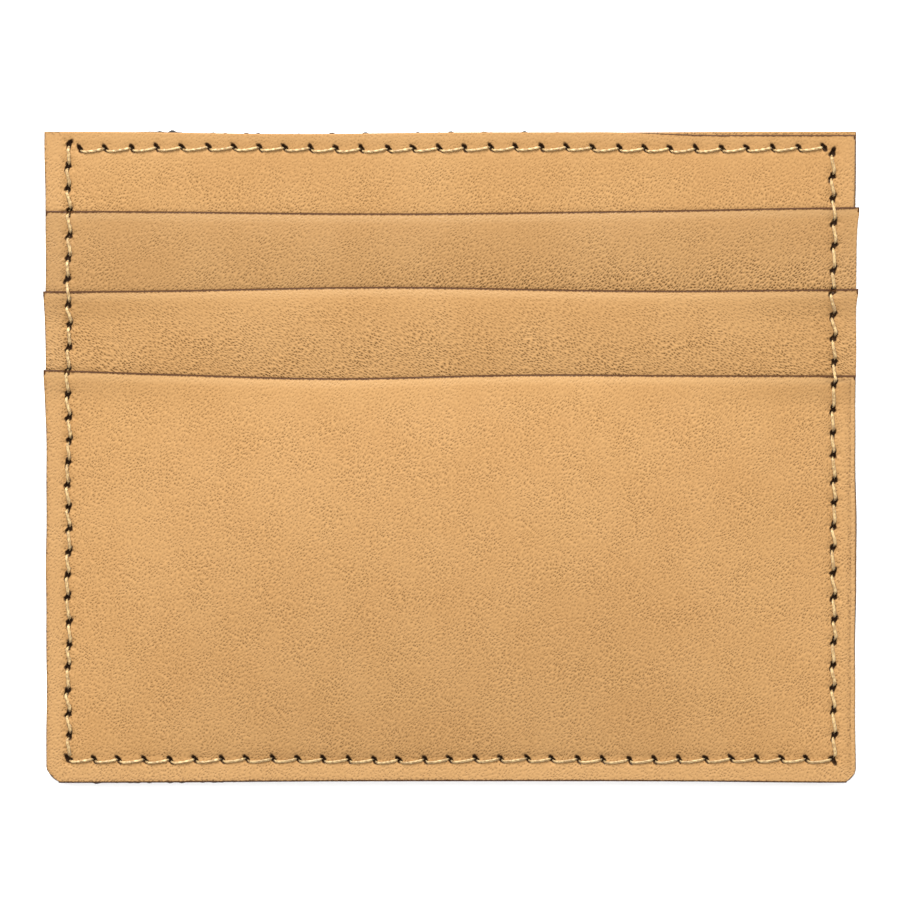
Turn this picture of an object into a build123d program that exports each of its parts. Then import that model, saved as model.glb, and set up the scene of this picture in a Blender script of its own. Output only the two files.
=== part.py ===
"""Flat leather card holder: a lined back, a lined front and three staggered card pockets.

It lies flat on its back. +X is to the right, +Y is towards the open top edge and +Z points
out of the front. The origin is in the middle of the outline, on the outer face of the back.
"""
import os

from build123d import *

os.makedirs("parts", exist_ok=True)

# ---------------------------------------------------------------- overall size
width = 100.0
height = 80.0
corner_clip = 1.6                 # the two bottom corners are cut off

# ---------------------------------------------------------------- sheets
back_thickness = 0.8
front_thickness = 0.8
pocket_thickness = 0.5            # split-thin leather of the two upper pockets
tail_thickness = 0.2              # their tails are skived thinner still
lower_pocket_thickness = 0.8
lining_thickness = 0.15

# ---------------------------------------------------------------- what goes in
card_width = 85.6
card_thickness = 0.76
card_clearance = 0.04             # added to the card's thickness
card_side_clearance = 0.3         # each side of the card
note_clearance = 0.05             # room for folded notes, past the two rows of thread

# ---------------------------------------------------------------- pockets
first_mouth = 10.0                # from the top edge down to the upper pocket's mouth
mouth_step = 10.0                 # from each mouth down to the next
tail_flange = 3.0                 # flat end of a tail, sewn to the front panel
tail_slope = 1.5                  # run over which a tail comes down to its flange
strip_tuck = 4.0                  # full-thickness leather carried on under the next pocket
skive_run = 2.0                   # length of the taper down to the tail's thickness
bottom_slope = 2.9                # the same, at the bottom margin
margin = 4.0                      # flat rim that the seams run in

# ---------------------------------------------------------------- seams
seam_inset = 2.8                  # side and bottom seam, from the edge
top_inset = 1.85                  # top rows, from the top edge
side_top_gap = 1.6                # from the top edge down to the side seams' first hole
side_holes = 28
bottom_holes = 31
top_pitch = 3.17
tail_pitch = 3.17
thread = 0.4                      # width of the waxed thread
thread_height = 0.25
groove_side_clearance = 0.15      # each side of the thread, in the back's channel
groove_clearance = 0.05           # from the thread to the back's outer face

# ---------------------------------------------------------------- levels
card_room = card_thickness + card_clearance
note_room = 2 * thread_height + note_clearance        # two rows of thread pass in this gap
groove_width = thread + 2 * groove_side_clearance     # channel in the back for the thread
groove_depth = thread_height + groove_clearance
flat_half = card_width / 2 + card_side_clearance
rim_half = width / 2 - margin
top_edge = height / 2
bottom_edge = -height / 2

back_lining_z = back_thickness
front_lining_z = back_lining_z + lining_thickness
front_z = front_lining_z + lining_thickness
pocket_z = front_z + front_thickness

front_top = pocket_z + note_room
upper_rise = note_room + card_room
middle_rise = upper_rise + pocket_thickness + card_room
lower_rise = middle_rise + pocket_thickness + card_room

upper_mouth = top_edge - first_mouth
middle_mouth = upper_mouth - mouth_step
lower_mouth = middle_mouth - mouth_step

# the three card pockets are equally deep, so the tails end one above the other
tail_depth = lower_mouth - (bottom_edge + seam_inset)


def outline(low, high, level):
    """The outline between two heights; the bottom corners are clipped where it reaches them."""
    with BuildSketch(Plane.XY.offset(level)) as plan:
        with Locations((0, (low + high) / 2)):
            Rectangle(width, high - low)
        if low == bottom_edge:
            chamfer(plan.vertices().group_by(Axis.Y)[0], corner_clip)
    return plan.sketch


def hollow(level, rise):
    """The space under a raised sheet: wide at the rim, narrowing upwards, open at the mouth."""
    past = top_edge + margin
    rim_low = bottom_edge + margin
    flat_low = rim_low + bottom_slope
    with BuildSketch(Plane.XY.offset(level)) as foot:
        with Locations((0, (rim_low + past) / 2)):
            Rectangle(2 * rim_half, past - rim_low)
    with BuildSketch(Plane.XY.offset(level + rise)) as crown:
        with Locations((0, (flat_low + past) / 2)):
            Rectangle(2 * flat_half, past - flat_low)
    return [foot.sketch.face(), crown.sketch.face()]


def raised_sheet(mouth, level, thickness, rise):
    """A sheet whose middle stands rise above its rim, added to the part being built."""
    extrude(outline(bottom_edge, mouth, level), amount=thickness)
    loft(hollow(level + thickness, rise))
    loft(hollow(level, rise), mode=Mode.SUBTRACT)
    extrude(outline(bottom_edge, mouth, level), amount=thickness + rise, mode=Mode.INTERSECT)


def strip_section(y, rise):
    """Cross-section of a pocket's strip: an ear at each side and a raised middle."""
    low = pocket_z
    high = pocket_z + pocket_thickness
    under = [(rim_half, low), (flat_half, low + rise)]
    over = [(flat_half, high + rise), (rim_half, high)]
    right = [(width / 2, low)] + under
    right_over = over + [(width / 2, high)]
    left = [(-x, z) for x, z in reversed(right)]
    left_over = [(-x, z) for x, z in reversed(right_over)]
    with BuildSketch(Plane.XZ.offset(-y)) as section:
        with BuildLine():
            Polyline(right + left + left_over + right_over, close=True)
        make_face()
    return section.sketch


def tail_section(mouth, rise):
    """Section of a pocket along its length: strip, taper, thin tail and flange."""
    low = pocket_z + rise
    end = mouth - tail_depth
    flange = end + tail_flange
    shoulder = flange + tail_slope
    tuck = mouth - mouth_step - strip_tuck
    under = [(mouth, low), (shoulder, low), (flange, front_top), (end, front_top)]
    thin = [(y, z + tail_thickness) for y, z in reversed(under[1:])]
    thick = [(tuck - skive_run, low + tail_thickness), (tuck, low + pocket_thickness),
             (mouth, low + pocket_thickness)]
    with BuildSketch(Plane.YZ.offset(-flat_half)) as section:
        with BuildLine():
            Polyline(under + thin + thick, close=True)
        make_face()
    return section.sketch


def pocket_with_tail(mouth, rise):
    """A T-shaped pocket: a full-width strip at its mouth and a narrower tail below it."""
    extrude(strip_section(mouth, rise), amount=mouth_step, dir=(0, -1, 0))
    extrude(tail_section(mouth, rise), amount=2 * flat_half, dir=(1, 0, 0))


def bar(start, end, low, high):
    """Size and middle of a straight length of thread between two holes and two levels."""
    size = (abs(end[0] - start[0]) + thread, abs(end[1] - start[1]) + thread, high - low)
    middle = ((start[0] + end[0]) / 2, (start[1] + end[1]) / 2, (low + high) / 2)
    return tuple(round(length, 4) for length in size), middle


def seam(holes, over, under):
    """Thread through a row of holes: over and under give the faces that it lies on."""
    bars = []
    for start, end in zip(holes, holes[1:]):
        high = max(over(start), over(end))
        low = min(under(start), under(end))
        bars.append(bar(start, end, high, high + thread_height))
        bars.append(bar(start, end, low - thread_height, low))
    for hole in holes:
        high = max(over(near) for near in neighbours(hole, holes))
        low = min(under(near) for near in neighbours(hole, holes))
        bars.append(bar(hole, hole, low - thread_height, high + thread_height))
    for size in sorted({size for size, middle in bars}):
        with Locations([middle for other, middle in bars if other == size]):
            Box(*size)


def neighbours(hole, holes):
    """A hole with the holes before and after it in its row."""
    place = holes.index(hole)
    return holes[max(place - 1, 0):place + 2]


def row(count, pitch, y):
    """Evenly spaced holes across the holder, centred."""
    return [((i - (count - 1) / 2) * pitch, y) for i in range(count)]


def holes_in(span, pitch):
    """How many holes at this pitch fit in a span."""
    return int(span / pitch) + 1


# ---------------------------------------------------------------- where the holes are
seam_x = width / 2 - seam_inset
seam_low = bottom_edge + seam_inset
side_high = top_edge - side_top_gap
side_pitch = (side_high - seam_low) / (side_holes - 1)
bottom_pitch = 2 * seam_x / (bottom_holes - 1)

left_holes = [(-seam_x, side_high - i * side_pitch) for i in range(side_holes)]
bottom_row = [(-seam_x + i * bottom_pitch, seam_low) for i in range(1, bottom_holes - 1)]
right_holes = [(seam_x, seam_low + i * side_pitch) for i in range(side_holes)]
outer_holes = left_holes + bottom_row + right_holes

top_row = row(holes_in(2 * flat_half - thread, top_pitch), top_pitch, top_edge - top_inset)
tail_count = holes_in(2 * flat_half - 2 * thread, tail_pitch)


def rim_top(hole):
    """Top of the rim under the outer seam, which steps up at the pockets' mouths."""
    if hole[1] > upper_mouth:
        return pocket_z
    if hole[1] > lower_mouth:
        return pocket_z + pocket_thickness
    return pocket_z + lower_pocket_thickness


# ---------------------------------------------------------------- back panel
with BuildPart() as back_panel:
    extrude(outline(bottom_edge, top_edge, 0), amount=back_thickness)
    side_run = side_high - seam_low + groove_width
    for x in (-seam_x, seam_x):
        with Locations((x, (side_high + seam_low) / 2, groove_depth / 2)):
            Box(groove_width, side_run, groove_depth, mode=Mode.SUBTRACT)
    with Locations((0, seam_low, groove_depth / 2)):
        Box(2 * seam_x + groove_width, groove_width, groove_depth, mode=Mode.SUBTRACT)
    top_run = top_row[-1][0] - top_row[0][0] + groove_width
    with Locations((0, top_edge - top_inset, groove_depth / 2)):
        Box(top_run, groove_width, groove_depth, mode=Mode.SUBTRACT)
back_panel.part.label = "back_panel"
export_step(back_panel.part, "parts/back_panel.step")

with BuildPart() as back_lining:
    extrude(outline(bottom_edge, top_edge, back_lining_z), amount=lining_thickness)
back_lining.part.label = "back_lining"
export_step(back_lining.part, "parts/back_lining.step")

# ---------------------------------------------------------------- front panel
with BuildPart() as front_lining:
    raised_sheet(top_edge, front_lining_z, lining_thickness, note_room)
front_lining.part.label = "front_lining"
export_step(front_lining.part, "parts/front_lining.step")

with BuildPart() as front_panel:
    raised_sheet(top_edge, front_z, front_thickness, note_room)
front_panel.part.label = "front_panel"
export_step(front_panel.part, "parts/front_panel.step")

# ---------------------------------------------------------------- pockets
with BuildPart() as upper_pocket:
    pocket_with_tail(upper_mouth, upper_rise)
upper_pocket.part.label = "upper_pocket"
export_step(upper_pocket.part, "parts/upper_pocket.step")

with BuildPart() as middle_pocket:
    pocket_with_tail(middle_mouth, middle_rise)
middle_pocket.part.label = "middle_pocket"
export_step(middle_pocket.part, "parts/middle_pocket.step")

with BuildPart() as lower_pocket:
    raised_sheet(lower_mouth, pocket_z, lower_pocket_thickness, lower_rise)
lower_pocket.part.label = "lower_pocket"
export_step(lower_pocket.part, "parts/lower_pocket.step")

# ---------------------------------------------------------------- threads
with BuildPart() as outer_seam_thread:
    seam(outer_holes, rim_top, lambda hole: groove_depth)
outer_seam_thread.part.label = "outer_seam_thread"
export_step(outer_seam_thread.part, "parts/outer_seam_thread.step")

with BuildPart() as front_top_thread:
    seam(top_row, lambda hole: front_top, lambda hole: front_lining_z + note_room)
front_top_thread.part.label = "front_top_thread"
export_step(front_top_thread.part, "parts/front_top_thread.step")

with BuildPart() as back_top_thread:
    seam(top_row, lambda hole: front_lining_z, lambda hole: groove_depth)
back_top_thread.part.label = "back_top_thread"
export_step(back_top_thread.part, "parts/back_top_thread.step")

with BuildPart() as upper_tail_thread:
    upper_tail_row = row(tail_count, tail_pitch, upper_mouth - tail_depth + tail_flange / 2)
    seam(upper_tail_row, lambda hole: front_top + tail_thickness,
         lambda hole: front_lining_z + note_room)
upper_tail_thread.part.label = "upper_tail_thread"
export_step(upper_tail_thread.part, "parts/upper_tail_thread.step")

with BuildPart() as middle_tail_thread:
    middle_tail_row = row(tail_count, tail_pitch, middle_mouth - tail_depth + tail_flange / 2)
    seam(middle_tail_row, lambda hole: front_top + tail_thickness,
         lambda hole: front_lining_z + note_room)
middle_tail_thread.part.label = "middle_tail_thread"
export_step(middle_tail_thread.part, "parts/middle_tail_thread.step")

print("outer seam:", len(outer_holes), "holes, side pitch", round(side_pitch, 2),
      "mm, bottom pitch", round(bottom_pitch, 2), "mm")
print("closed height:", round(pocket_z + lower_rise + lower_pocket_thickness, 2), "mm")
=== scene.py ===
# %% [markdown]
# # A flat leather card holder
#
# The holder is a sandwich of thin leather sheets: a back, a front, and three card pockets that
# overlap like roof tiles. A dark cloth lines the big pocket between back and front. Pale waxed
# thread runs through awl holes along the sides, the bottom and the top edge.
#
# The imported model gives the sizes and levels.

import math

import bmesh
import bpy
import numpy as np
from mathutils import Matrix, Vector
from mathutils.kdtree import KDTree


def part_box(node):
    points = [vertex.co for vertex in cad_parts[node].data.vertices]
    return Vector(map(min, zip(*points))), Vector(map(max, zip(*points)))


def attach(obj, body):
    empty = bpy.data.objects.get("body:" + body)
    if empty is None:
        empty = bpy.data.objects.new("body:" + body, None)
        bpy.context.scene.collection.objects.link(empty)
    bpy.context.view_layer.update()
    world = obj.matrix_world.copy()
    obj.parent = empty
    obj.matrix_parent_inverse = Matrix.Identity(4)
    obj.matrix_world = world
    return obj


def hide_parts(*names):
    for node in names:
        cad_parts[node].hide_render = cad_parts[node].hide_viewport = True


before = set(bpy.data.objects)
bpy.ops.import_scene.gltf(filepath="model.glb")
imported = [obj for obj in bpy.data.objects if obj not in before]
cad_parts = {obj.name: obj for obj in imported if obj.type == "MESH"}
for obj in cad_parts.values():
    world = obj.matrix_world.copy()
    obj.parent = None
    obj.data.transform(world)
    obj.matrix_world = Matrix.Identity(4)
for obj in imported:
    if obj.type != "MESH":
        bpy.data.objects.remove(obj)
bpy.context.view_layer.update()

# %% [markdown]
# ## Sizes
#
# A holder this small is easier to think about in millimetres, so the shapes are worked out in
# millimetres and only scaled to metres when a mesh is made. The outline, the pocket mouths, the
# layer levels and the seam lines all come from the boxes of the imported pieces.

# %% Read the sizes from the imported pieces
MM = 0.001


def box_mm(node):
    """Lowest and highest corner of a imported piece, in millimetres."""
    low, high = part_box(node)
    return low / MM, high / MM


back_low, back_high = box_mm("back_panel")
half_width = back_high.x
top_edge = back_high.y
bottom_edge = back_low.y
back_level = back_high.z
front_rim = box_mm("upper_pocket")[0].z
upper_mouth = box_mm("upper_pocket")[1].y
middle_mouth = box_mm("middle_pocket")[1].y
lower_mouth = box_mm("lower_pocket")[1].y
tail_end = {"upper": box_mm("upper_pocket")[0].y, "middle": box_mm("middle_pocket")[0].y}

top_inset = 1.85                  # from the top edge to the middle of the top row
thread_low, thread_high = box_mm("outer_seam_thread")
thread_width = 2 * (box_mm("front_top_thread")[1].y - top_edge + top_inset)
seam_x = thread_high.x - thread_width / 2
seam_low = thread_low.y + thread_width / 2
side_high = thread_high.y - thread_width / 2
top_seam = box_mm("front_top_thread")[1].y - thread_width / 2
print("seams at x", round(seam_x, 2), "bottom", round(seam_low, 2), "top row", round(top_seam, 2))

# %% [markdown]
# ## Camera
#
# The camera hangs straight above the holder and looks down, with the open top edge upwards in
# its view. A long lens from most of a metre away keeps the outline a true rectangle.

# %% Hang the camera above the holder
view_width = 111.4                # millimetres of the surface that the camera takes in
camera_height = 800.0
camera_data = bpy.data.cameras.new("overhead")
camera_data.sensor_width = 36.0
camera_data.lens = camera_data.sensor_width * camera_height / view_width
camera_data.clip_start = 0.01
camera_data.clip_end = 10.0
camera = bpy.data.objects.new("overhead", camera_data)
aim_x, aim_y = -0.12, 0.87        # a hair off the holder's middle
camera.location = (aim_x * MM, aim_y * MM, camera_height * MM)
bpy.context.scene.collection.objects.link(camera)
bpy.context.scene.camera = camera
print("lens", round(camera_data.lens), "mm")

# %% [markdown]
# ## Floor and light
#
# Small leather goods show their grain best on a white table under soft light. The table here is
# plain matt white. The key light is a wide panel beyond the top edge, fairly low, so that the
# pockets' lips catch it and every slope away from it darkens. The white world fills the shadows.

# %% Lay the white floor
def plain_material(name, colour, roughness):
    """A material with one colour and roughness, for what isn't part of the holder."""
    material = bpy.data.materials.new(name)
    material.use_nodes = True
    shader = material.node_tree.nodes["Principled BSDF"]
    shader.inputs["Base Color"].default_value = (*colour, 1.0)
    shader.inputs["Roughness"].default_value = roughness
    return material


floor_mesh = bpy.data.meshes.new("floor")
reach = 3.0
corners = [(-reach, -reach, 0), (reach, -reach, 0), (reach, reach, 0), (-reach, reach, 0)]
floor_mesh.from_pydata(corners, [], [(0, 1, 2, 3)])
floor = bpy.data.objects.new("floor", floor_mesh)
floor.location.z = -0.02 * MM      # just clear of the holder
bpy.context.scene.collection.objects.link(floor)
floor_mesh.materials.append(plain_material("white_table", (0.93, 0.93, 0.93), 0.9))


# %% Set up the lights
def panel_light(name, place, size, power):
    """A square light panel that faces the holder."""
    data = bpy.data.lights.new(name, "AREA")
    data.shape = "SQUARE"
    data.size = size
    data.energy = power
    lamp = bpy.data.objects.new(name, data)
    lamp.location = place
    lamp.rotation_euler = (-Vector(place)).to_track_quat("-Z", "Y").to_euler()
    bpy.context.scene.collection.objects.link(lamp)
    return lamp


panel_light("key_panel", (-0.13, 0.90, 0.60), 0.5, 34.0)

world = bpy.data.worlds.new("studio")
world.use_nodes = True
world.node_tree.nodes["Background"].inputs["Color"].default_value = (1.0, 1.0, 1.0, 1.0)
world.node_tree.nodes["Background"].inputs["Strength"].default_value = 1.68
bpy.context.scene.world = world
bpy.context.scene.view_settings.view_transform = "Standard"

# %% [markdown]
# ## Outlines
#
# Hand-cut leather is never quite straight. Each edge here is a straight line with a slow wave of a
# few tenths of a millimetre: the top edge dips left of the middle, each pocket's lip sags or
# arches a little, and two pockets stand a hair proud of the side. Gaussian humps and S-curves
# describe such waves with few numbers: a height, a place and a spread, all in millimetres.


# %% Describe the edges
def hump(x, place, spread):
    """A smooth bump of height 1 around a place."""
    return np.exp(-((x - place) / spread) ** 2)


def smooth(t):
    """An S-curve from 0 to 1."""
    t = np.clip(t, 0.0, 1.0)
    return t * t * (3.0 - 2.0 * t)


def top_line(x):
    return top_edge + 0.27 - 0.33 * hump(x, -19, 17) - 0.12 * hump(x, 14, 16)


def front_top_line(x):
    """The front falls short of the back along the right half of the top edge."""
    return top_line(x) - 0.03 - 0.45 * smooth((x - 18) / 16)


def bottom_line(x):
    return bottom_edge - 0.22 * hump(x, -50, 26) - 0.2 * hump(x, 50, 16)


def upper_lip(x):
    return upper_mouth + 0.42 - 0.35 * hump(x, -8, 24) + 0.44 * hump(x, 52, 20)


def middle_lip(x):
    return middle_mouth + 0.45 + 0.54 * hump(x, -8, 22) + 0.3 * hump(x, 52, 18)


def lower_lip(x):
    sag = 0.5 * hump(x, -14, 15) + 0.13 * smooth((x - 12) / 18)
    return lower_mouth + 0.22 + 0.6 * hump(x, -54, 15) - sag


def cut_side(nominal, mouth, flare, run):
    """One side of a sheet as a function of y: it flares out at its mouth, and wavers."""
    def line(y):
        down = np.maximum(mouth - y, 0.0) / run
        waver = 0.04 * np.sin(0.23 * y + 2.1 * nominal) + 0.025 * np.sin(0.61 * y + nominal)
        return nominal + flare * np.exp(-down) + waver
    return line


def back_right(y):
    """The back's right side bulges past the other sheets below the middle."""
    return cut_side(50.03, top_edge, 0.08, 9.0)(y) + 0.12 * hump(y, -9, 9)


sides_of = {
    "back": (cut_side(-49.98, top_edge, -0.12, 30.0), back_right),
    "front": (cut_side(-49.96, top_edge, -0.24, 30.0), cut_side(49.66, top_edge, 0.30, 16.0)),
    "upper": (cut_side(-50.08, upper_mouth, 0.0, 1.0), cut_side(50.02, upper_mouth, 0.46, 2.6)),
    "middle": (cut_side(-50.02, middle_mouth, -0.32, 2.6),
               cut_side(49.98, middle_mouth, 0.28, 0.9)),
    "lower": (cut_side(-49.95, lower_mouth, -0.3, 4.0), cut_side(49.86, lower_mouth, 0.04, 5.0)),
}


# %% [markdown]
# ## Heights
#
# Seen from the side, the holder is thin along the seams, where the stitches pull all the layers
# together, and swells gently towards the middle. A parabola from the seam inwards gives that
# crown. Each pocket's lip is pressed down onto the sheet below it, then its strip arches a
# little, which is why a lip catches the light and the strip darkens towards the next lip.

# %% Work out the height of each layer
pocket_leather = 0.5              # thickness of the upper and middle pockets
lower_leather = 0.8               # thickness of the lower pocket, the front and the back
lip_gap = 0.04                    # a lip lies this far above the sheet below it
lip_rise = 0.16                   # how far the leather springs up just below a lip
lip_run = 0.7
crown_reach = 34.0
front_swell = 0.45


def crown(distance, run):
    """Rise from a seam, steep at first and level after the run."""
    return 1.0 - (1.0 - np.clip(distance / run, 0.0, 1.0)) ** 2


def across(x):
    """Crown between the two side seams."""
    return crown(seam_x - np.abs(x), crown_reach)


def strip_arch(s):
    """Centre height of a pocket's strip above its lip, s millimetres below the lip."""
    inside = np.clip(s, 0.0, 10.0)
    spring = lip_rise * (1 - np.exp(-inside / lip_run))
    return spring + 0.095 * inside - 0.008 * inside ** 2


front_centre = front_rim + front_swell
upper_centre = front_centre + pocket_leather + lip_gap
middle_centre = upper_centre + float(strip_arch(10.0)) + pocket_leather + lip_gap
lower_centre = middle_centre + float(strip_arch(10.0)) + lower_leather + lip_gap
lower_margin = front_rim + lower_leather
level_run = 6.0                   # the lower pocket climbs this far, then bends down
climb = 0.07
seam_run = lower_mouth - seam_low
fall = lower_centre + lip_rise + climb * seam_run - lower_margin
bend = 2 * fall / (seam_run - level_run) ** 2


def lower_arch(s):
    """Centre height of the lower pocket above its lip: it climbs, levels and comes down."""
    s = np.maximum(s, 0.0)
    past = np.maximum(s - level_run, 0.0)
    return lip_rise * (1 - np.exp(-s / lip_run)) + climb * s - bend * past ** 2 / 2


def overlap_step(s, thickness):
    """At the rim a lip lies on the ear before it, then comes down off it."""
    return thickness * (1.0 - smooth(s / 4.0))


def front_height(x, y):
    return front_rim + front_swell * across(x) * crown(y - seam_low, crown_reach)


def upper_height(x, y):
    s = upper_lip(x) - y
    rim = front_rim + pocket_leather
    return rim + (upper_centre + strip_arch(s) - rim) * across(x)


def middle_height(x, y):
    s = middle_lip(x) - y
    rim = front_rim + pocket_leather
    centre = middle_centre + strip_arch(s)
    return rim + overlap_step(s, pocket_leather) * (1 - across(x)) + (centre - rim) * across(x)


def lower_height(x, y):
    s = lower_lip(x) - y
    step = overlap_step(s, pocket_leather) * (1 - across(x))
    centre = lower_centre + lower_arch(s)
    return lower_margin + step + (np.maximum(centre, lower_margin) - lower_margin) * across(x)


def skin(x, y):
    """Height of the uppermost sheet at a place."""
    z = np.where(y > upper_lip(x), front_height(x, y), upper_height(x, y))
    z = np.where(y > middle_lip(x), z, middle_height(x, y))
    return np.where(y > lower_lip(x), z, lower_height(x, y))


highest = float(np.max(lower_height(0.0, np.linspace(-40, 10, 200))))
lip_levels = [round(level, 2) for level in (upper_centre, middle_centre, lower_centre)]
print("lips at", lip_levels, "mm; highest", round(highest, 2), "mm")

# %% [markdown]
# ## Where the holes are
#
# The holes are punched with a slanted iron, one after another by hand, so their spacing wanders a
# little. The side rows and the bottom row share one seam that turns at the bottom corners; the top
# row is a seam of its own, closer to the edge. Each hole keeps its place and the slant of its slot.

# %% Place the stitch holes
rng = np.random.default_rng(7)


def walk(start, end, count, wander):
    """Places from start to end, evenly spaced but for a little wander."""
    places = np.linspace(start, end, count)
    places[1:-1] += rng.uniform(-wander, wander, count - 2)
    return places


def slanted(xs, ys, slant, wobble):
    """Holes as rows of x, y and slant in degrees."""
    xs, ys = np.broadcast_arrays(xs, ys)
    return np.stack([xs, ys, slant + rng.uniform(-wobble, wobble, len(xs))], 1)


left_y = walk(side_high + 0.25, seam_low + 0.1, 28, 0.2)
right_y = walk(seam_low, side_high - 0.85, 27, 0.2)
bottom_x = walk(-seam_x + 0.02, seam_x - 0.1, 31, 0.12)
top_x = walk(-45.8, 46.1, 30, 0.1)

left_holes = slanted(-seam_x + 0.12 * np.sin(0.5 * left_y), left_y, 70, 12)[:-1]
bottom_holes = slanted(bottom_x, seam_low - 0.10 + 0.08 * np.sin(0.21 * bottom_x), -58, 9)
right_holes = slanted(seam_x - 0.1 * np.sin(0.4 * right_y), right_y, 68, 12)[1:]
top_holes = slanted(top_x, top_seam - 0.02 + 0.1 * np.sin(0.16 * top_x), -58, 9)
outer_holes = np.concatenate([left_holes, bottom_holes, right_holes])
all_holes = np.concatenate([outer_holes, top_holes])
print(len(outer_holes), "holes in the outer seam,", len(top_holes), "in the top row")

hole_finder = KDTree(len(all_holes))
for number, hole in enumerate(all_holes):
    hole_finder.insert((hole[0], hole[1], 0.0), number)
hole_finder.balance()


def nearest_hole(x, y):
    """For each point: which hole is nearest, and the way to it along and across its slot."""
    nearest = np.array([hole_finder.find((px, py, 0.0))[1] for px, py in zip(x, y)])
    dx, dy = x - all_holes[nearest, 0], y - all_holes[nearest, 1]
    slant = np.radians(all_holes[nearest, 2])
    along = dx * np.cos(slant) + dy * np.sin(slant)
    aside = dy * np.cos(slant) - dx * np.sin(slant)
    return nearest, along, aside


# %% [markdown]
# ## Cutting a sheet
#
# A sheet of leather is one closed skin: an upper face, a lower face and a narrow wall round the
# outline. Both faces share one grid, finer near the cut edges. Around the stitch holes that will
# show, the face is divided further, so that the thread can pull the leather in. Only then do the
# points get their heights, each from its place, its face and its distance in from the cut edge.

# %% Grid lines that follow the edges
edge_steps = [0.0, 0.03, 0.08, 0.15, 0.24, 0.36, 0.55, 0.8, 1.1]      # in from a cut edge
seam_steps = [-1.2, -0.8, -0.4, 0.0, 0.4, 0.8, 1.2]                   # either side of a seam


def ticks(low, high, step, seams=()):
    """Grid lines from low to high: fine at both ends and around the seams."""
    lines = {round(low + s, 3) for s in edge_steps} | {round(high - s, 3) for s in edge_steps}
    lines |= {round(seam + s, 3) for seam in seams for s in seam_steps}
    finest = sorted(lines)
    for line in np.linspace(low, high, int((high - low) / step) + 1):
        if min(abs(line - other) for other in finest) > 0.4 * step:
            lines.add(round(float(line), 3))
    return np.array(sorted(lines))


def shifted(nominal, low, high, low_shift, high_shift):
    """Moves grid lines so that the outer ones follow the edges."""
    blend = smooth((nominal - low - 3.0) / (high - low - 6.0))
    return nominal + low_shift * (1 - blend) + high_shift * blend


def corner_cut(y, clip):
    """How far the outline comes in at a clipped bottom corner, between a chamfer and an arc."""
    up = np.clip(y - bottom_edge, 0.0, clip)
    arc = clip - np.sqrt(np.maximum(clip ** 2 - (clip - up) ** 2, 0.0))
    return 0.55 * (clip - up) + 0.45 * arc


clip_left = 1.55
clip_right = 1.1


def layout(low, high, step_x, step_y, seams_y, top_of, bottom_of, sides, clipped):
    """The grid of a sheet, and each point's distance in from the cut edge."""
    xs = ticks(-half_width, half_width, step_x, (-seam_x, seam_x))
    ys = ticks(low, high, step_y, seams_y)
    nominal_x, nominal_y = np.meshgrid(xs, ys)
    y = shifted(nominal_y, low, high, bottom_of(nominal_x) - low, top_of(nominal_x) - high)
    left, right = sides[0](y) + half_width, sides[1](y) - half_width
    if clipped:
        left = left + corner_cut(y, clip_left)
        right = right - corner_cut(y, clip_right)
    x = shifted(nominal_x, -half_width, half_width, left, right)
    across_in = np.minimum(nominal_x + half_width, half_width - nominal_x)
    along_in = np.minimum(high - nominal_y, nominal_y - low)
    return x, y, np.minimum(across_in, along_in)


# %% A closed flat skin
def everywhere(x, y):
    """Keeps every cell of a grid."""
    return np.ones((x.shape[0] - 1, x.shape[1] - 1), bool)


def skin_mesh(name, grid, keep):
    """A closed flat skin over the kept cells, with face and inset stored on its points."""
    x, y, inset = grid
    keep = keep(x, y)
    rows, columns = x.shape
    used = np.zeros((rows, columns), bool)
    for dr, dc in ((0, 0), (0, 1), (1, 0), (1, 1)):
        used[dr:rows - 1 + dr, dc:columns - 1 + dc] |= keep
    number = -np.ones((rows, columns), int)
    number[used] = np.arange(used.sum())
    count = int(used.sum())
    r, c = np.nonzero(keep)
    a, b, d, e = number[r, c], number[r, c + 1], number[r + 1, c + 1], number[r + 1, c]
    faces = [np.stack([a, b, d, e], 1), np.stack([e, d, b, a], 1) + count]
    padded = np.pad(keep, 1)
    for inside, p, q in ((padded[r, c + 1], a, b), (padded[r + 1, c + 2], b, d),
                         (padded[r + 2, c + 1], d, e), (padded[r + 1, c], e, a)):
        p, q = p[~inside], q[~inside]
        faces.append(np.stack([q, p, p + count, q + count], 1))
    flat = np.stack([x[used], y[used], np.zeros(count)], 1)
    mesh = bpy.data.meshes.new(name)
    both = np.concatenate([flat, flat]) * MM
    mesh.from_pydata(both.tolist(), [], np.concatenate(faces).tolist())
    for label, values in (("upper", np.repeat([1.0, 0.0], count)),
                          ("inset", np.concatenate([inset[used], inset[used]]))):
        store(mesh, label, values)
    return mesh


# %% Numbers kept on the points
def store(mesh, label, values):
    """Keeps one number for each point of a mesh."""
    attribute = mesh.attributes.get(label) or mesh.attributes.new(label, "FLOAT", "POINT")
    attribute.data.foreach_set("value", np.asarray(values, np.float32))


def stored(mesh, label):
    values = np.empty(len(mesh.vertices), np.float32)
    mesh.attributes[label].data.foreach_get("value", values)
    return values.astype(float)


def forget(mesh):
    """Drops the two numbers that are needed only while a sheet is made."""
    for label in ("upper", "inset"):
        mesh.attributes.remove(mesh.attributes[label])
    mesh.update()


def points_of(mesh):
    """The points of a mesh in millimetres."""
    flat = np.empty(3 * len(mesh.vertices), np.float32)
    mesh.vertices.foreach_get("co", flat)
    return flat.reshape(-1, 3).astype(float) / MM


def move_points(mesh, at):
    """Moves the points of a mesh to new places in millimetres."""
    mesh.vertices.foreach_set("co", (at * MM).astype(np.float32).ravel())


def new_piece(name, mesh):
    """Puts a mesh in the scene as a piece."""
    piece = bpy.data.objects.new(name, mesh)
    bpy.context.scene.collection.objects.link(piece)
    return piece


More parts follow.
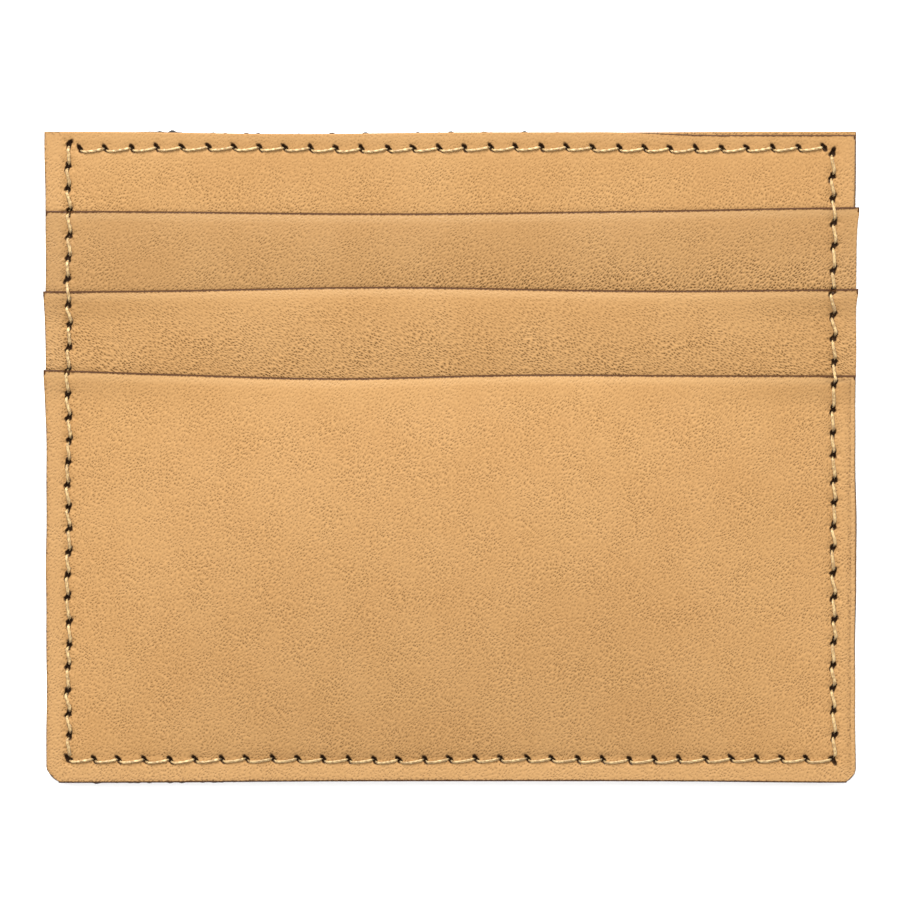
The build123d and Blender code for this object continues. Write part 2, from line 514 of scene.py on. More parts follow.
def stand_in(piece, node):
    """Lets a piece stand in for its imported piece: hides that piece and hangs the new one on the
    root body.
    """
    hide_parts(node)
    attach(piece, "root")
    print(piece.name, "faces:", len(piece.data.polygons))


def smooth_but_folds(mesh):
    """Shades a mesh smoothly but for its sharp folds."""
    mesh.shade_smooth()
    mesh.set_sharp_from_angle(angle=math.radians(50))


# %% Finer cells around the holes
refine_reaches = (1.4, 1.15, 0.95)
shortest_edge = 0.16


def refine(mesh, holes, face):
    """Divides the cells near the holes, on the upper face (1) or the lower face (0)."""
    finder = KDTree(len(holes))
    for number, hole in enumerate(holes):
        finder.insert((hole[0], hole[1], 0.0), number)
    finder.balance()
    for reach in refine_reaches:
        work = bmesh.new()
        work.from_mesh(mesh)
        upper = work.verts.layers.float["upper"]
        edges = set()
        for f in work.faces:
            middle = f.calc_center_median() / MM
            if all(v[upper] == face for v in f.verts):
                if finder.find((middle.x, middle.y, 0.0))[2] < reach:
                    edges.update(e for e in f.edges if e.calc_length() > shortest_edge * MM)
        bmesh.ops.subdivide_edges(work, edges=list(edges), cuts=1, use_grid_fill=True)
        bmesh.ops.triangulate(work, faces=[f for f in work.faces if len(f.verts) > 4])
        work.to_mesh(mesh)
        work.free()


# %% [markdown]
# ## Node helpers
#
# A material is a graph of nodes. Built by hand in code, each node takes several lines, so a few
# helpers shorten that: one adds a node and sets its values, the others do the sums, soft ranges
# and colour mixes that every finish below needs.

# %% Helpers for material nodes
def links_for(material):
    """Short helpers to add nodes to a material and join them."""
    tree = material.node_tree

    def add(kind, **values):
        node = tree.nodes.new(kind)
        for key, value in values.items():
            if hasattr(node, key):
                setattr(node, key, value)
            else:
                node.inputs[key].default_value = value
        return node

    def join(source, target, socket):
        tree.links.new(source, target.inputs[socket])

    return add, join


def math_node(add, join, operation, first, second, clamp=False):
    """A Math node; each of its two inputs is a number or another node's output."""
    node = add("ShaderNodeMath", operation=operation)
    node.use_clamp = clamp
    for index, value in enumerate((first, second)):
        if isinstance(value, (int, float)):
            node.inputs[index].default_value = value
        else:
            join(value, node, index)
    return node.outputs[0]


def ramp(add, join, value, low, high, out_low=0.0, out_high=1.0):
    """Turns a range of one value into another range, with soft ends."""
    node = add("ShaderNodeMapRange", interpolation_type="SMOOTHSTEP")
    join(value, node, "Value")
    node.inputs["From Min"].default_value = low
    node.inputs["From Max"].default_value = high
    node.inputs["To Min"].default_value = out_low
    node.inputs["To Max"].default_value = out_high
    return node.outputs["Result"]


def mix_colour(add, join, blend, factor, first, second):
    """Mixes two colours; each is a colour or another node's output."""
    node = add("ShaderNodeMix", data_type="RGBA", blend_type=blend)
    if isinstance(factor, (int, float)):
        node.inputs["Factor"].default_value = factor
    else:
        join(factor, node, "Factor")
    for socket, value in ((6, first), (7, second)):
        if isinstance(value, tuple):
            node.inputs[socket].default_value = (*value, 1.0)
        else:
            join(value, node, socket)
    return node.outputs[2]


# %% [markdown]
# ## Leather
#
# Vegetable-tanned leather is honey brown with a fine grain: rows of tiny pores, about two to the
# millimetre, lying along slanting creases. The colour drifts slowly over the hide. A Voronoi
# texture gives one dark dot per cell for the pores, a darker colour that also paints the shade
# inside them, and its far reaches swell up between them, with a painted highlight on the swells.
# Fine noise gives the speckle of the skin, and slow noise gives the drift. Four numbers stored on
# the points tell the rest. Cut edges are dark (edge): their own dark colour, with the painted
# shadow of the gap under each lip and painted shade where the sides and bottom round over. The
# skin next to a lip, the margins outside the seams and a strip along the right side get a painted
# highlight, and the lip band is also smoother (lip). Some stretches are coarser (coarse), and each
# stitch hole is darkened with painted shade, with wax and dirt around it (stitch). An image would
# fix the grain to one size and one hide; nodes can be turned, scaled and shaded differently for
# each sheet.

# %% The leather material
def leather(name, tone, turn, pore_depth, seed):
    """Honey leather: tone is its colour, turn the slant of its grain in degrees."""
    material = bpy.data.materials.new(name)
    material.use_nodes = True
    add, join = links_for(material)
    shader = material.node_tree.nodes["Principled BSDF"]
    place = add("ShaderNodeTexCoord").outputs["Object"]

    drift = add("ShaderNodeTexNoise", noise_dimensions="2D", Scale=300.0, Detail=1.0)
    join(place, drift, "Vector")
    bend = add("ShaderNodeVectorMath", operation="MULTIPLY_ADD")
    join(drift.outputs["Color"], bend, 0)
    bend.inputs[1].default_value = (0.0008, 0.0008, 0.0)
    join(place, bend, 2)
    grain = add("ShaderNodeMapping", vector_type="TEXTURE")
    join(bend.outputs[0], grain, "Vector")
    grain.inputs["Location"].default_value = (0.01 * seed, 0.007 * seed, 0.0)
    grain.inputs["Rotation"].default_value = (0.0, 0.0, math.radians(turn))
    grain.inputs["Scale"].default_value = (1.3, 0.8, 1.0)
    grain = grain.outputs["Vector"]

    pores = add("ShaderNodeTexVoronoi", voronoi_dimensions="2D", Scale=2950.0, Randomness=0.9)
    join(grain, pores, "Vector")
    each = add("ShaderNodeSeparateColor")
    join(pores.outputs["Color"], each, "Color")
    each = ramp(add, join, each.outputs["Red"], 0.0, 1.0, 0.35, 1.15)
    pore = ramp(add, join, pores.outputs["Distance"], 0.0, 0.40, 1.0, 0.0)
    pore = math_node(add, join, "MULTIPLY", pore, each)
    swell = ramp(add, join, pores.outputs["Distance"], 0.38, 0.7)
    strength = add("ShaderNodeTexNoise", noise_dimensions="2D", Scale=240.0, Detail=3.0)
    join(place, strength, "Vector")
    uneven = ramp(add, join, strength.outputs["Fac"], 0.3, 0.7, 0.75, 1.2)
    fuzz = add("ShaderNodeTexNoise", noise_dimensions="2D", Scale=3400.0, Detail=2.0)
    join(place, fuzz, "Vector")
    fuzz = fuzz.outputs["Fac"]

    edge = add("ShaderNodeAttribute", attribute_name="edge").outputs["Fac"]
    lip = add("ShaderNodeAttribute", attribute_name="lip").outputs["Fac"]
    coarse = add("ShaderNodeAttribute", attribute_name="coarse").outputs["Fac"]
    stitch = add("ShaderNodeAttribute", attribute_name="stitch").outputs["Fac"]

    depth = math_node(add, join, "MULTIPLY", uneven, coarse)
    pore = math_node(add, join, "MULTIPLY", pore, depth)
    swell = math_node(add, join, "MULTIPLY", swell, depth)

    mottle = add("ShaderNodeTexNoise", noise_dimensions="2D", Scale=70.0, Detail=5.0,
                 Roughness=0.6)
    join(place, mottle, "Vector")
    pale = tuple(1.03 * c for c in tone)
    deep = (0.965 * tone[0], 0.935 * tone[1], 0.89 * tone[2])
    skin_colour = mix_colour(add, join, "MIX", ramp(add, join, mottle.outputs["Fac"], 0.3, 0.7),
                             deep, pale)
    bright = tuple(min(1.0, 1.3 * c) for c in tone)
    # Painted highlight: the swells between the pores are lightened.
    swell_highlight = math_node(add, join, "MULTIPLY", swell, ramp(add, join, fuzz, 0.35, 0.65))
    skin_colour = mix_colour(add, join, "MIX", math_node(add, join, "MULTIPLY", swell_highlight, 0.6),
                             skin_colour, bright)
    speckle = math_node(add, join, "MULTIPLY", ramp(add, join, fuzz, 0.38, 0.62), 0.24)
    skin_colour = mix_colour(add, join, "MIX", speckle, skin_colour, bright)
    # The pores' darker colour, which also paints the shade inside them.
    dot = (0.56 * tone[0], 0.46 * tone[1], 0.32 * tone[2])
    skin_colour = mix_colour(add, join, "MIX",
                             math_node(add, join, "MULTIPLY", pore, pore_depth), skin_colour, dot)
    # Painted highlight: lightens the band below each lip, the margins outside the seams and a strip
    # along the right side.
    highlight_colour = (1.15 * tone[0], 1.21 * tone[1], 1.34 * tone[2])
    skin_colour = mix_colour(add, join, "MIX", math_node(add, join, "MULTIPLY", lip, 0.38),
                             skin_colour, highlight_colour)
    # Painted shade in each stitch hole, with wax and dirt darkening the leather just around it.
    ragged = math_node(add, join, "ADD", stitch, math_node(add, join, "MULTIPLY", fuzz, 0.55))
    hole_shade_and_dirt = ramp(add, join, ragged, 0.80, 1.24, 0.0, 0.97)
    skin_colour = mix_colour(add, join, "MIX", hole_shade_and_dirt, skin_colour, (0.016, 0.006, 0.002))
    # Dark cut edges: their own dark colour, the painted shadow in the gap under each lip, and
    # painted shade where the sides and bottom round over.
    ragged = math_node(add, join, "ADD", edge, math_node(add, join, "MULTIPLY", fuzz, 0.5))
    edge_colour_and_shade = ramp(add, join, ragged, 0.60, 0.92)
    skin_colour = mix_colour(add, join, "MIX", edge_colour_and_shade, skin_colour, (0.036, 0.0135, 0.0034))
    join(skin_colour, shader, "Base Color")

    relief = math_node(add, join, "SUBTRACT", math_node(add, join, "MULTIPLY", swell, 0.3), pore)
    rough_skin = math_node(add, join, "MULTIPLY", fuzz, 0.35)
    relief = math_node(add, join, "ADD", relief, rough_skin)
    relief = math_node(add, join, "SUBTRACT", relief, math_node(add, join, "MULTIPLY", hole_shade_and_dirt, 0.8))
    bump = add("ShaderNodeBump", Strength=1.0, Distance=0.00007)
    join(relief, bump, "Height")
    join(bump.outputs["Normal"], shader, "Normal")

    rough = ramp(add, join, mottle.outputs["Fac"], 0.3, 0.7, 0.62, 0.52)
    rough = math_node(add, join, "SUBTRACT", rough, math_node(add, join, "MULTIPLY", lip, 0.1))
    join(rough, shader, "Roughness")
    shader.inputs["Specular IOR Level"].default_value = 0.08
    return material


honey = (0.2325, 0.1290, 0.0488)


def shade(amount):
    """The honey colour, a little lighter or darker."""
    return tuple(amount * c for c in honey)


leathers = {
    "back": leather("back_leather", shade(0.95), 60, 0.66, 1),
    "front": leather("front_leather", shade(0.97), 62, 0.72, 2),
    "upper": leather("upper_pocket_leather", shade(0.84), 50, 0.7, 3),
    "middle": leather("middle_pocket_leather", shade(0.92), -35, 0.7, 4),
    "lower": leather("lower_pocket_leather", shade(0.98), 58, 0.72, 5),
}
print("leathers:", list(leathers))

# %% [markdown]
# ## The sheets
#
# One function turns a flat skin into a sheet of leather: it looks up the height of each point,
# rounds over the cut edges, sinks the slanted stitch holes, lets the stitches pull the leather in
# around them, and stores the values that the leather material reads. Each piece then says only
# what is its own: its outline, its heights, how thick it is and how coarse its grain runs.

# %% Turn a flat skin into leather
edge_radius = 0.20
seam_dip = 0.07                   # how far the stitches pull a seam down
pit_depth = 0.13                  # and the leather right around a hole
side_slot = (0.52, 0.27)          # half length and half width of a hole in the sides
row_slot = (0.50, 0.23)           # and in the top and bottom rows
slot_depth = 0.42
thinnest = 0.06
highlight_width = 0.45                 # width of the painted highlight strip along the right side


def rounding(distance, radius):
    """How far a rounded-over edge drops, at a distance in from the outline."""
    inside = np.clip(radius - distance, 0.0, radius)
    return radius - np.sqrt(np.maximum(radius ** 2 - inside ** 2, 0.0))


def pulled_in(x, y):
    """How far the stitches pull a sheet down, and how near each point is to a slot."""
    nearest, along, aside = nearest_hole(x, y)
    on_side = np.abs(all_holes[nearest, 0]) > seam_x - 0.35
    half_long, half_wide = (np.where(on_side, a, b) for a, b in zip(side_slot, row_slot))
    slot = np.hypot(along / half_long, aside / half_wide)
    away, angle = np.hypot(along, aside), np.arctan2(aside, along)
    slot = slot * (1.0 + (0.08 + 0.1 * on_side) * np.sin(3 * angle + 2.4 * nearest))
    side = np.exp(-((np.abs(x) - seam_x) / 0.7) ** 2) * smooth((y - seam_low + 1.0) / 1.0)
    base = np.exp(-((y - seam_low) / 0.7) ** 2) * smooth((seam_x + 1.0 - np.abs(x)) / 1.0)
    top = np.exp(-((y - top_seam) / 0.75) ** 2) * smooth((seam_x - 0.3 - np.abs(x)) / 1.0)
    creases = (0.5 + 0.5 * np.cos(5 * angle + nearest)) * np.exp(-((away - 0.65) / 0.35) ** 2)
    pit = np.exp(-(away / 0.6) ** 2)
    hole = 1.0 - smooth((slot - 0.7) / 0.45)
    shallow = seam_dip * np.maximum(np.maximum(side, base), top) + pit_depth * pit
    shallow = shallow + (0.03 + 0.06 * on_side) * creases
    return shallow, hole, slot


def edge_darkening(x, y, inset, rim, edge_shading):
    """How dark the leather is near its cut edge, from 0 to 1: its dark edge colour and painted
    shade.
    """
    # Painted shade: darker towards the right side beyond the highlight strip, towards the left side
    # and along the bottom, where the surface slopes away to the edge.
    right = (0.64 - 0.2 * inset) * (inset > highlight_width)
    edge_shade = np.where(x > 0, right, 0.50 - 0.34 * inset)
    low_rim = y < bottom_edge + 1.0
    edge_shade = np.where(low_rim, 0.52 - 0.3 * inset, edge_shade)
    edge_shade = edge_shading * edge_shade * ((np.abs(x) > half_width - 2.0) | low_rim)
    return np.clip(np.maximum(1.0 - inset / (0.5 * rim), edge_shade), 0.0, 1.0)


def rim_highlights(x, y, inset, edge_shading):
    """Painted highlight: paler leather outside the seams, stronger on the left, and a pale strip
    along the right side.
    """
    side_highlight = 1.7 * edge_shading * (x > half_width - 1.0) * (inset > 0.2) * (inset < highlight_width)
    margin_highlight = np.where(x > 0, 0.5, 1.0) * smooth((np.abs(x) - seam_x - 0.4) / 0.8)
    margin_highlight = np.maximum(margin_highlight, smooth((seam_low - 0.4 - y) / 0.8))
    return margin_highlight, side_highlight


def leather_sheet(name, grid, keep, height, thickness, material, shown, looks, face=1):
    """Builds one sheet. looks gives its lip highlight, coarse, rim and edge shading; shown, the
    holes to refine.
    """
    mesh = skin_mesh(name, grid, keep)
    refine(mesh, shown, face)
    at = points_of(mesh)
    x, y = at[:, 0], at[:, 1]
    upper, inset = stored(mesh, "upper"), stored(mesh, "inset")
    thick = thickness(x, y)
    shallow, hole, slot = pulled_in(x, y)
    deep = hole * np.minimum(0.6 * thick, slot_depth)
    if face:
        top = height(x, y) - shallow - deep
        low = np.minimum(height(x, y) - thick, top - thinnest)
    else:
        top = height(x, y)
        low = np.minimum(top - thick + 0.3 * shallow + deep, top - thinnest)
    radius = np.minimum(edge_radius, 0.45 * thick)
    low_edge = low + rounding(inset, 0.5 * radius)
    at[:, 2] = np.where(upper > 0.5, top - rounding(inset, radius), low_edge)
    move_points(mesh, at)
    lip, coarse, rim, edge_shading = looks(x, y)
    margin_highlight, side_highlight = rim_highlights(x, y, inset, edge_shading)
    # edge: dark cut edges with painted shade and the painted shadow under each lip; lip: painted
    # highlight below the lips, on the margins and along the right side.
    store(mesh, "edge", edge_darkening(x, y, inset, rim, edge_shading))
    store(mesh, "lip", np.maximum(np.maximum(lip, margin_highlight), side_highlight) if face else lip)
    store(mesh, "coarse", coarse)
    # stitch: painted shade in each hole, plus wax and dirt around it.
    store(mesh, "stitch", np.clip(1.75 - 0.75 * slot, 0.0, 1.0))
    forget(mesh)
    mesh.materials.append(material)
    return new_piece(name, mesh)


def finish_leather(piece, node):
    """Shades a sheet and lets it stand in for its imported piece."""
    smooth_but_folds(piece.data)
    stand_in(piece, node)


# %% What the sheets' own looks are made of
def even(value):
    """A thickness that is the same all over."""
    return lambda x, y: np.full(x.shape, value)


def below(s, start, run):
    """0 above a place, 1 well below it."""
    return smooth((s - start) / run)


def rims(x, y, lip):
    """How dark the cut edge is: dark at the lip, with the painted shadow of the gap under it, and
    along the bottom, faint at the sides.
    """
    crossing = hump(np.abs(x), seam_x, 1.8)
    rim = np.where(lip - y < 0.7, 1.06 + 0.25 * crossing, np.where(x > 0, 0.13, 0.3))
    return np.where(y < bottom_edge + 0.7, 0.8, rim)


def lip_highlight(s):
    """The painted highlight on the band just below a lip."""
    return 2.0 * below(s, 0.2, 0.2) * (1.0 - below(s, 0.5, 1.1))


# %% Back panel
def back_looks(x, y):
    """No lip, an even grain, a rim a little darker on the right, and no painted edge shade or side
    highlight.
    """
    rim = np.where(x > half_width - 1.0, 0.4, 0.12)
    return 0 * x, 0 * x + 0.8, rim, 0 * x


back_panel = leather_sheet(
    "back_panel_leather",
    layout(bottom_edge, top_edge, 1.0, 1.0, (seam_low, top_seam), top_line, bottom_line,
           sides_of["back"], True),
    everywhere, even(back_level), even(back_level), leathers["back"], all_holes,
    back_looks, face=0)


channel_depth = 0.32
channel_reach = 0.42


def groove_back(piece):
    """Presses the shallow channels for the thread into the back's outer face."""
    at = points_of(piece.data)
    x, y = np.abs(at[:, 0]), at[:, 1]
    far = 9.0
    side = np.abs(x - seam_x) + far * ((y > side_high + 0.3) | (y < seam_low - 0.3))
    base = np.abs(y - seam_low) + far * (x > seam_x + 0.3)
    top = np.abs(y - top_seam) + far * (x > 46.4)
    nearest = np.minimum(np.minimum(side, base), top)
    depth = channel_depth * np.exp(-(nearest / channel_reach) ** 4)
    outer = at[:, 2] < 0.5 * back_level
    at[outer, 2] = np.maximum(at[outer, 2], depth[outer])
    move_points(piece.data, at)


groove_back(back_panel)
finish_leather(back_panel, "back_panel")

# %% Front panel
visible = all_holes[:, 1] > upper_mouth - 1.0
no_lip = top_edge + 9.0


def front_looks(x, y):
    """A faint painted highlight below the top edge, finer grain near it, a rim dark only on the
    right, and painted edge shade on the left.
    """
    s = front_top_line(x) - y
    rim = np.where(s < 0.6, 0.15 + 0.7 * smooth((x - 20) / 10), rims(x, y, no_lip))
    return 0.3 * lip_highlight(s), 0.4 + 0.4 * below(s, 2.5, 3.0), rim, 1.0 * (x < 0)


front_panel = leather_sheet(
    "front_panel_leather",
    layout(bottom_edge, top_edge, 0.8, 1.0, (seam_low, top_seam), front_top_line, bottom_line,
           sides_of["front"], True),
    everywhere, front_height, even(lower_leather), leathers["front"], all_holes[visible],
    front_looks)
finish_leather(front_panel, "front_panel")

# %% Upper and middle pockets
tail_half = 43.0                  # half the width of a tail
ear_tuck = 3.6                    # how far an ear runs in under the next lip
tail_leather = 0.2                # a tail is pared down to this
tail_rest = {"upper": 0.24, "middle": 0.48}      # how far a tail lies above the front panel


def cell_middle(v):
    """The mean of a grid's values at the four corners of each cell."""
    return 0.25 * (v[1:, 1:] + v[:-1, 1:] + v[1:, :-1] + v[:-1, :-1])


def make_pocket(layer, own, lip_line, next_lip, coarse):
    """A T-shaped pocket: strip, ears and tail in one piece of leather."""
    rest = tail_rest[layer]

    def keep(x, y):
        mid_x, mid_y = cell_middle(x), cell_middle(y)
        return (np.abs(mid_x) < tail_half) | (mid_y > next_lip(mid_x) - ear_tuck)

    def height(x, y):
        hidden = next_lip(x) - y
        sink = smooth((hidden - 3.0) / 10.0)
        ear = (np.abs(x) > tail_half) * 0.4 * smooth(hidden / 3.4)
        return own(x, y) * (1 - sink) + (front_height(x, y) + rest) * sink - ear

    def thickness(x, y):
        hidden = next_lip(x) - y
        tail = pocket_leather + (tail_leather - pocket_leather) * smooth((hidden - 3.0) / 3.0)
        ear = pocket_leather - (pocket_leather - 0.12) * smooth(hidden / 3.4)
        return np.where(np.abs(x) > tail_half, ear, tail)

    def looks(x, y):
        s = lip_line(x) - y
        # The painted highlight below the lip, the grain, the dark rim, and how strong the painted
        # edge shade and side highlight are, more on the left.
        return lip_highlight(s), coarse(x, s), rims(x, y, lip_line(x)), np.where(x < 0, 0.9, 0.6)

    mouth = float(np.mean(lip_line(np.linspace(-50, 50, 11))))
    end = tail_end[layer]
    holes = outer_holes[np.abs(outer_holes[:, 0]) > seam_x - 0.5]
    shown = holes[(holes[:, 1] < mouth + 1.0) & (holes[:, 1] > mouth - 11.0)]
    piece = leather_sheet(
        layer + "_pocket_leather",
        layout(end, mouth, 0.9, 0.7, (), lip_line, lambda x: end + 0 * x, sides_of[layer], False),
        keep, height, thickness, leathers[layer], shown, looks)
    finish_leather(piece, layer + "_pocket")
    return piece


upper_pocket = make_pocket(
    "upper", upper_height, upper_lip, middle_lip,
    lambda x, s: 0.5 + 0.3 * below(s, 0.8, 3.0) + 0.8 * below(s, 5.0, 4.0) * below(x, -25.0, 45.0))
middle_pocket = make_pocket(
    "middle", middle_height, middle_lip, lower_lip,
    lambda x, s: 0.5 + 0.35 * below(s, 0.8, 3.0) + 0.35 * below(s, 4.0, 3.0))

# %% Lower pocket
lower_top = float(np.mean(lower_lip(np.linspace(-50, 50, 11))))
lower_holes = outer_holes[outer_holes[:, 1] < lower_mouth + 1.5]


def lower_looks(x, y):
    """A painted highlight below the lip, and grain that comes in below it."""
    s = lower_lip(x) - y
    grain = 0.5 + 0.34 * below(s, 0.8, 5.0)
    return lip_highlight(s), grain, rims(x, y, lower_lip(x)), np.where(x < 0, 1.0, 0.85)


lower_pocket = leather_sheet(
    "lower_pocket_leather",
    layout(bottom_edge, lower_top, 0.8, 0.7, (seam_low,), lower_lip, bottom_line,
           sides_of["lower"], True),
    everywhere, lower_height, even(lower_leather), leathers["lower"], lower_holes, lower_looks)
finish_leather(lower_pocket, "lower_pocket")

# %% [markdown]
# ## Lining
#
# The lining is a thin black cloth glued to the inner faces of back and front. Only its raw edge
# shows, as a broken dark line that peeps out along the top edge and at the bottom left. Both
# linings are thin closed sheets whose outline wanders past the leather there.


# %% Cloth for the lining
def cloth(name, colour):
    """Plain-woven dark cloth."""
    material = bpy.data.materials.new(name)
    material.use_nodes = True
    add, join = links_for(material)
    shader = material.node_tree.nodes["Principled BSDF"]
    place = add("ShaderNodeTexCoord").outputs["Object"]
    warp = add("ShaderNodeTexWave", wave_type="BANDS", bands_direction="X", Scale=900.0,
               Distortion=0.6)
    weft = add("ShaderNodeTexWave", wave_type="BANDS", bands_direction="Y", Scale=900.0,
               Distortion=0.6)
    join(place, warp, "Vector")
    join(place, weft, "Vector")
    weave = math_node(add, join, "MULTIPLY", warp.outputs["Fac"], weft.outputs["Fac"])
    lighter = tuple(2.2 * c for c in colour)
    join(mix_colour(add, join, "MIX", weave, colour, lighter), shader, "Base Color")
    bump = add("ShaderNodeBump", Strength=0.5, Distance=0.00004)
    join(weave, bump, "Height")
    join(bump.outputs["Normal"], shader, "Normal")
    shader.inputs["Roughness"].default_value = 0.85
    shader.inputs["Sheen Weight"].default_value = 0.2
    return material


dark_cloth = cloth("lining_cloth", (0.012, 0.011, 0.012))


# %% Back and front linings
def frayed(x, seed):
    """The uneven edge of raw cloth, from 0 to 1."""
    wave = np.sin(2.9 * x + seed) + np.sin(4.7 * x + 2 * seed) + np.sin(1.3 * x + 3 * seed)
    return np.clip(0.2 + wave / 3, 0.0, 1.0)


def lining_top(x):
    solid = hump(x, -37.0, 3.2)
    peep = smooth((x + 39) / 4) * (1 - smooth((x - 11) / 6))
    fallen = 0.42 * smooth((x - 16) / 10)
    return top_line(x) - 0.16 - fallen + 0.24 * solid + 0.32 * frayed(x, 0.7) * peep


def lining_bottom(x):
    peep = smooth((x + 49) / 3) * (1 - smooth((x + 28) / 6))
    return bottom_line(x) + 0.2 - (0.23 + 0.15 * frayed(x, 1.3)) * peep


cloth_thickness = 0.14


def back_lining_level(x, y):
    """The cloth on the back's inner face."""
    return 0 * x + back_level + 0.15


def front_lining_level(x, y):
    """The cloth on the underside of the front."""
    return front_height(x, y) - 0.805


def make_lining(name, level, node):
    """A thin closed sheet of cloth under a height."""
    sides = (cut_side(-49.75, top_edge, 0.0, 1.0), cut_side(49.6, top_edge, 0.0, 1.0))
    grid = layout(bottom_edge, top_edge, 0.25, 1.6, (), lining_top, lining_bottom, sides, True)
    mesh = skin_mesh(name, grid, everywhere)
    at = points_of(mesh)
    at[:, 2] = level(at[:, 0], at[:, 1]) - cloth_thickness * (stored(mesh, "upper") < 0.5)
    move_points(mesh, at)
    forget(mesh)
    mesh.materials.append(dark_cloth)
    smooth_but_folds(mesh)
    piece = new_piece(name, mesh)
    stand_in(piece, node)
    return piece


back_lining = make_lining("back_lining_cloth", back_lining_level, "back_lining")
front_lining = make_lining("front_lining_cloth", front_lining_level, "front_lining")

# %% [markdown]
# ## Thread
#
# The stitches are a lockstitch: one waxed thread on the front dips into every hole and is caught
# there by a second thread on the back. Each thread is a curve with a three-lobed section, tilted
# as it goes, so that it comes out as a twisted strand. Along a row it leaves a slot at its lower
# end, sags a little and climbs to the next slot. On the sides it leans from one end of its slot
# to the other end of the next. A curve turned into a mesh leaves its end caps loose, so they are
# welded on, which makes each thread a closed body.


# %% Waxed thread
def waxed_thread(name, colour):
    """Pale golden thread with a slight waxy gloss."""
    material = bpy.data.materials.new(name)
    material.use_nodes = True
    add, join = links_for(material)
    shader = material.node_tree.nodes["Principled BSDF"]
    place = add("ShaderNodeTexCoord").outputs["Object"]
    fibre = add("ShaderNodeTexNoise", noise_dimensions="3D", Scale=3000.0, Detail=3.0)
    join(place, fibre, "Vector")
    darker = (0.52 * colour[0], 0.43 * colour[1], 0.30 * colour[2])
    join(mix_colour(add, join, "MIX", ramp(add, join, fibre.outputs["Fac"], 0.35, 0.65),
                    darker, colour), shader, "Base Color")
    bump = add("ShaderNodeBump", Strength=0.4, Distance=0.00003)
    join(fibre.outputs["Fac"], bump, "Height")
    join(bump.outputs["Normal"], shader, "Normal")
    shader.inputs["Roughness"].default_value = 0.5
    shader.inputs["Sheen Weight"].default_value = 0.15
    return material


pale_thread = waxed_thread("pale_thread", (0.35, 0.240, 0.098))
strand_radius = 0.145

lobes = bpy.data.curves.new("strand_section", "CURVE")
lobes.dimensions = "2D"
ring = lobes.splines.new("POLY")
ring.points.add(11)
for k, point in enumerate(ring.points):
    a = 2 * math.pi * k / 12
    r = strand_radius * MM * (1.0 + 0.2 * math.cos(3 * a))
    point.co = (r * math.cos(a), r * math.sin(a), 0.0, 1.0)
ring.use_cyclic_u = True
section = new_piece("strand_section", lobes)


# %% Helpers that lay the thread
row_shape = [(0.00, -0.10, -0.9), (0.06, -0.24, -0.6), (0.11, -0.31, -0.08), (0.20, -0.34, 0.03),
             (0.42, -0.30, 0.05), (0.68, -0.16, 0.05), (0.83, -0.05, 0.02), (0.88, -0.01, -0.10),
             (0.92, 0.00, -0.6), (0.97, -0.02, -0.9)]
side_shape = [(0.00, 0.00, -1.0), (0.08, -0.08, -1.0), (0.15, -0.15, -0.5), (0.20, -0.18, -0.03),
              (0.30, -0.14, 0.06), (0.50, 0.00, 0.08), (0.70, 0.13, 0.06), (0.80, 0.16, -0.03),
              (0.85, 0.14, -0.5), (0.92, 0.02, -1.0)]


back_shape = [(0.04, 0.9), (0.12, 0.3), (0.3, 0.18), (0.6, 0.17), (0.88, 0.3), (0.96, 0.9)]
side_strand = 1.22                # the side stitches are looser, so the strand looks thicker


def front_points(start, end, along_row):
    """One stitch on the front: x, y, lift above the leather and thickness, hole to hole."""
    ahead = np.array(end[:2]) - np.array(start[:2])
    length = float(np.hypot(*ahead))
    ahead /= length
    left = np.array([-ahead[1], ahead[0]])
    sway = rng.uniform(-0.05, 0.05) if along_row else rng.uniform(-0.08, 0.08)
    lean = 1.0 if along_row else rng.uniform(0.4, 1.3)
    for along, aside, lift in (row_shape if along_row else side_shape):
        at = np.array(start[:2]) + ahead * length * along
        at += left * (aside * lean + sway * math.sin(math.pi * along))
        yield at[0], at[1], lift, 1.0 if along_row else side_strand


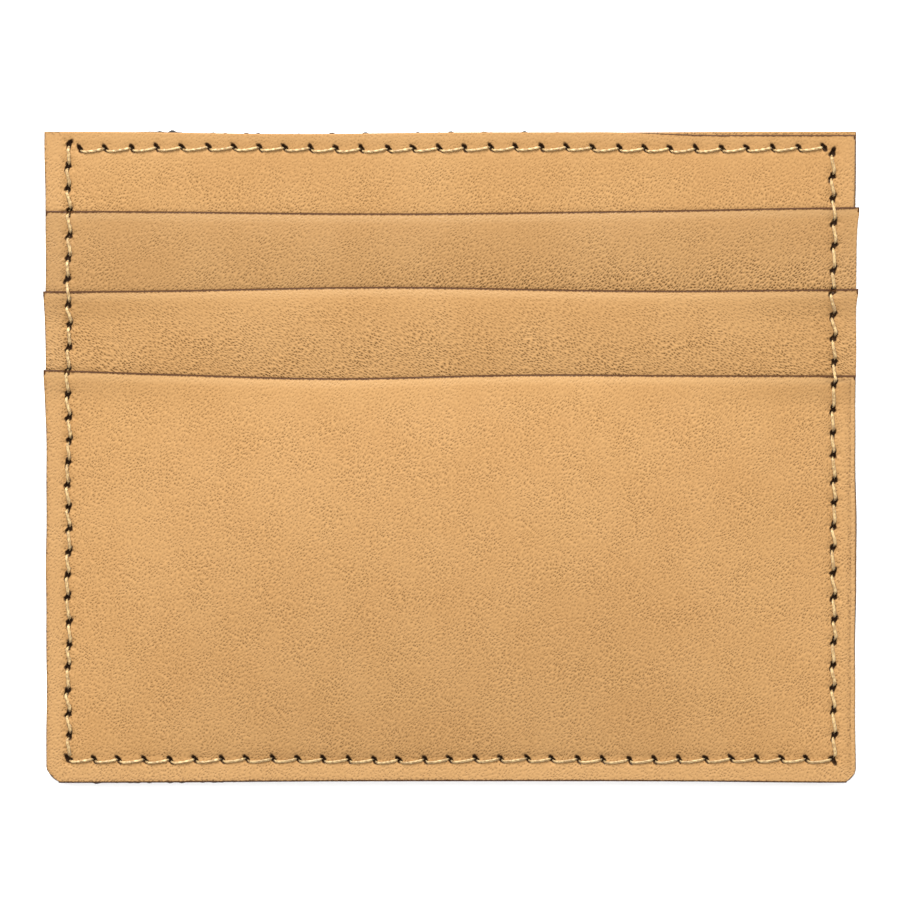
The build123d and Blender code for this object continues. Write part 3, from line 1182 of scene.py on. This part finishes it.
def strand(name, points, twist=2.6):
    """A twisted strand through points in millimetres, as a closed mesh."""
    curve = bpy.data.curves.new(name, "CURVE")
    curve.dimensions = "3D"
    curve.twist_mode = "Z_UP"
    spline = curve.splines.new("NURBS")
    spline.points.add(len(points) - 1)
    tilt = 0.0
    for index, point in enumerate(points):
        spline.points[index].co = (point[0] * MM, point[1] * MM, point[2] * MM, 1.0)
        if index:
            tilt += twist * math.dist(points[index - 1][:3], point[:3])
        spline.points[index].tilt = tilt
        spline.points[index].radius = point[3]
    spline.order_u = 3
    spline.use_endpoint_u = True
    spline.resolution_u = 3
    curve.bevel_mode = "OBJECT"
    curve.bevel_object = section
    curve.use_fill_caps = True
    holder = new_piece(name, curve)
    bpy.context.view_layer.update()
    graph = bpy.context.evaluated_depsgraph_get()
    mesh = bpy.data.meshes.new_from_object(holder.evaluated_get(graph))
    bpy.data.objects.remove(holder)
    mesh.name = name
    work = bmesh.new()
    work.from_mesh(mesh)
    bmesh.ops.remove_doubles(work, verts=work.verts, dist=0.001 * MM)
    bmesh.ops.recalc_face_normals(work, faces=work.faces)
    work.to_mesh(mesh)
    work.free()
    return new_piece(name, mesh)


def joined(name, parts):
    """Joins meshes into one piece."""
    with bpy.context.temp_override(active_object=parts[0], selected_editable_objects=parts):
        bpy.ops.object.join()
    parts[0].name = name
    parts[0].data.name = name
    return parts[0]


def lay_front(holes, surface):
    """The front thread through a row of holes."""
    points = []
    for start, end in zip(holes, holes[1:]):
        along_row = abs(end[0] - start[0]) > abs(end[1] - start[1])
        for x, y, lift, thick in front_points(start, end, along_row):
            points.append((x, y, float(surface(x, y)) + lift, thick))
    return points


def lay_back(holes):
    """The back thread: it lies in its groove and dips up into every hole."""
    points = []
    for start, end in zip(holes, holes[1:]):
        for along, z in back_shape:
            points.append((start[0] + (end[0] - start[0]) * along,
                           start[1] + (end[1] - start[1]) * along, z, 1.0))
    return points


def finish_thread(piece, node):
    """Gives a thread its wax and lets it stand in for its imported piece."""
    piece.data.materials.clear()
    piece.data.materials.append(pale_thread)
    piece.data.shade_smooth()
    stand_in(piece, node)


# %% Sew the outer seam and the top rows
outer_front = strand("outer_front", lay_front(outer_holes, skin))
outer_back = strand("outer_back", lay_back(outer_holes))
outer = joined("outer_seam_waxed_thread", [outer_front, outer_back])
finish_thread(outer, "outer_seam_thread")

top_front = strand("front_top_waxed_thread", lay_front(top_holes, skin))
finish_thread(top_front, "front_top_thread")
top_back = strand("back_top_waxed_thread", lay_back(top_holes))
finish_thread(top_back, "back_top_thread")

# %% Sew the hidden tails
tail_pitch = 3.17
tail_seam = 1.5                   # from the end of a tail to its stitches
for layer, rest in tail_rest.items():
    tail_y = tail_end[layer] + tail_seam
    tail_holes = [(x, tail_y) for x in np.arange(-41.2, 41.3, tail_pitch)]
    laid = lay_front(tail_holes, lambda x, y: front_height(x, y) + rest)
    tail_piece = strand(layer + "_tail_waxed_thread", laid)
    finish_thread(tail_piece, layer + "_tail_thread")

bpy.data.objects.remove(section)
